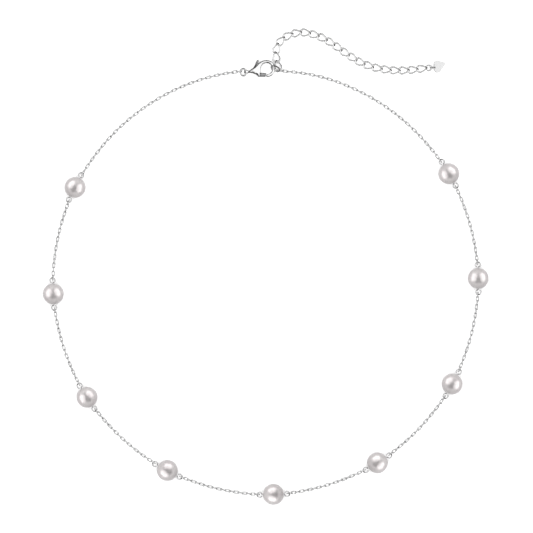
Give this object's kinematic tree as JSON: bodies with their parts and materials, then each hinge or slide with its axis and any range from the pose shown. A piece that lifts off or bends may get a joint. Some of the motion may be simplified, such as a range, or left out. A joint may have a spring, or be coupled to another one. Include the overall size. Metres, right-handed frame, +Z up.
{
  "type": "pearl station necklace",
  "caption": "Single-strand necklace of spaced round pearls on a fine silver cable chain, with a lobster clasp and a curb extender with a heart tag, lying flat in a loop.",
  "frame": {"origin": "middle of the round loop, on the surface that the necklace lies on", "axes": "+Z up from the surface, +Y from the middle of the loop to the clasp, +X to the right seen from above"},
  "size_m": [0.1335, 0.1428, 0.0062],
  "materials": {
    "pearl": "white pearl lustre with a faint pink-grey cast",
    "silver": "bright polished silver plate"
  },
  "bodies": {
    "necklace": {"pearl_1": "pearl", "pearl_2": "pearl", "pearl_3": "pearl", "pearl_4": "pearl", "pearl_5": "pearl", "pearl_6": "pearl", "pearl_7": "pearl", "pearl_8": "pearl", "pearl_9": "pearl", "eye_pin_1": "silver", "eye_pin_2": "silver", "eye_pin_3": "silver", "eye_pin_4": "silver", "eye_pin_5": "silver", "eye_pin_6": "silver", "eye_pin_7": "silver", "eye_pin_8": "silver", "eye_pin_9": "silver", "chain_1": "silver", "chain_2": "silver", "chain_3": "silver", "chain_4": "silver", "chain_5": "silver", "chain_6": "silver", "chain_7": "silver", "chain_8": "silver", "chain_clasp_side": "silver", "chain_ring_side": "silver", "clasp_ring": "silver", "clasp_body": "silver", "end_ring": "silver", "extender_chain": "silver", "extender_end_ring": "silver", "tag_ring": "silver", "heart_tag": "silver"},
    "lever": {"clasp_lever": "silver"}
  },
  "joints": [
    {"name": "clasp_lever_hinge", "type": "hinge", "parent": "necklace", "child": "lever", "pos_m": [-0.0038, 0.06311, 0.001], "axis": [0, 0, 1], "range_deg": [0, 20], "stiffness_Nm_per_rad": 0.002}
  ]
}
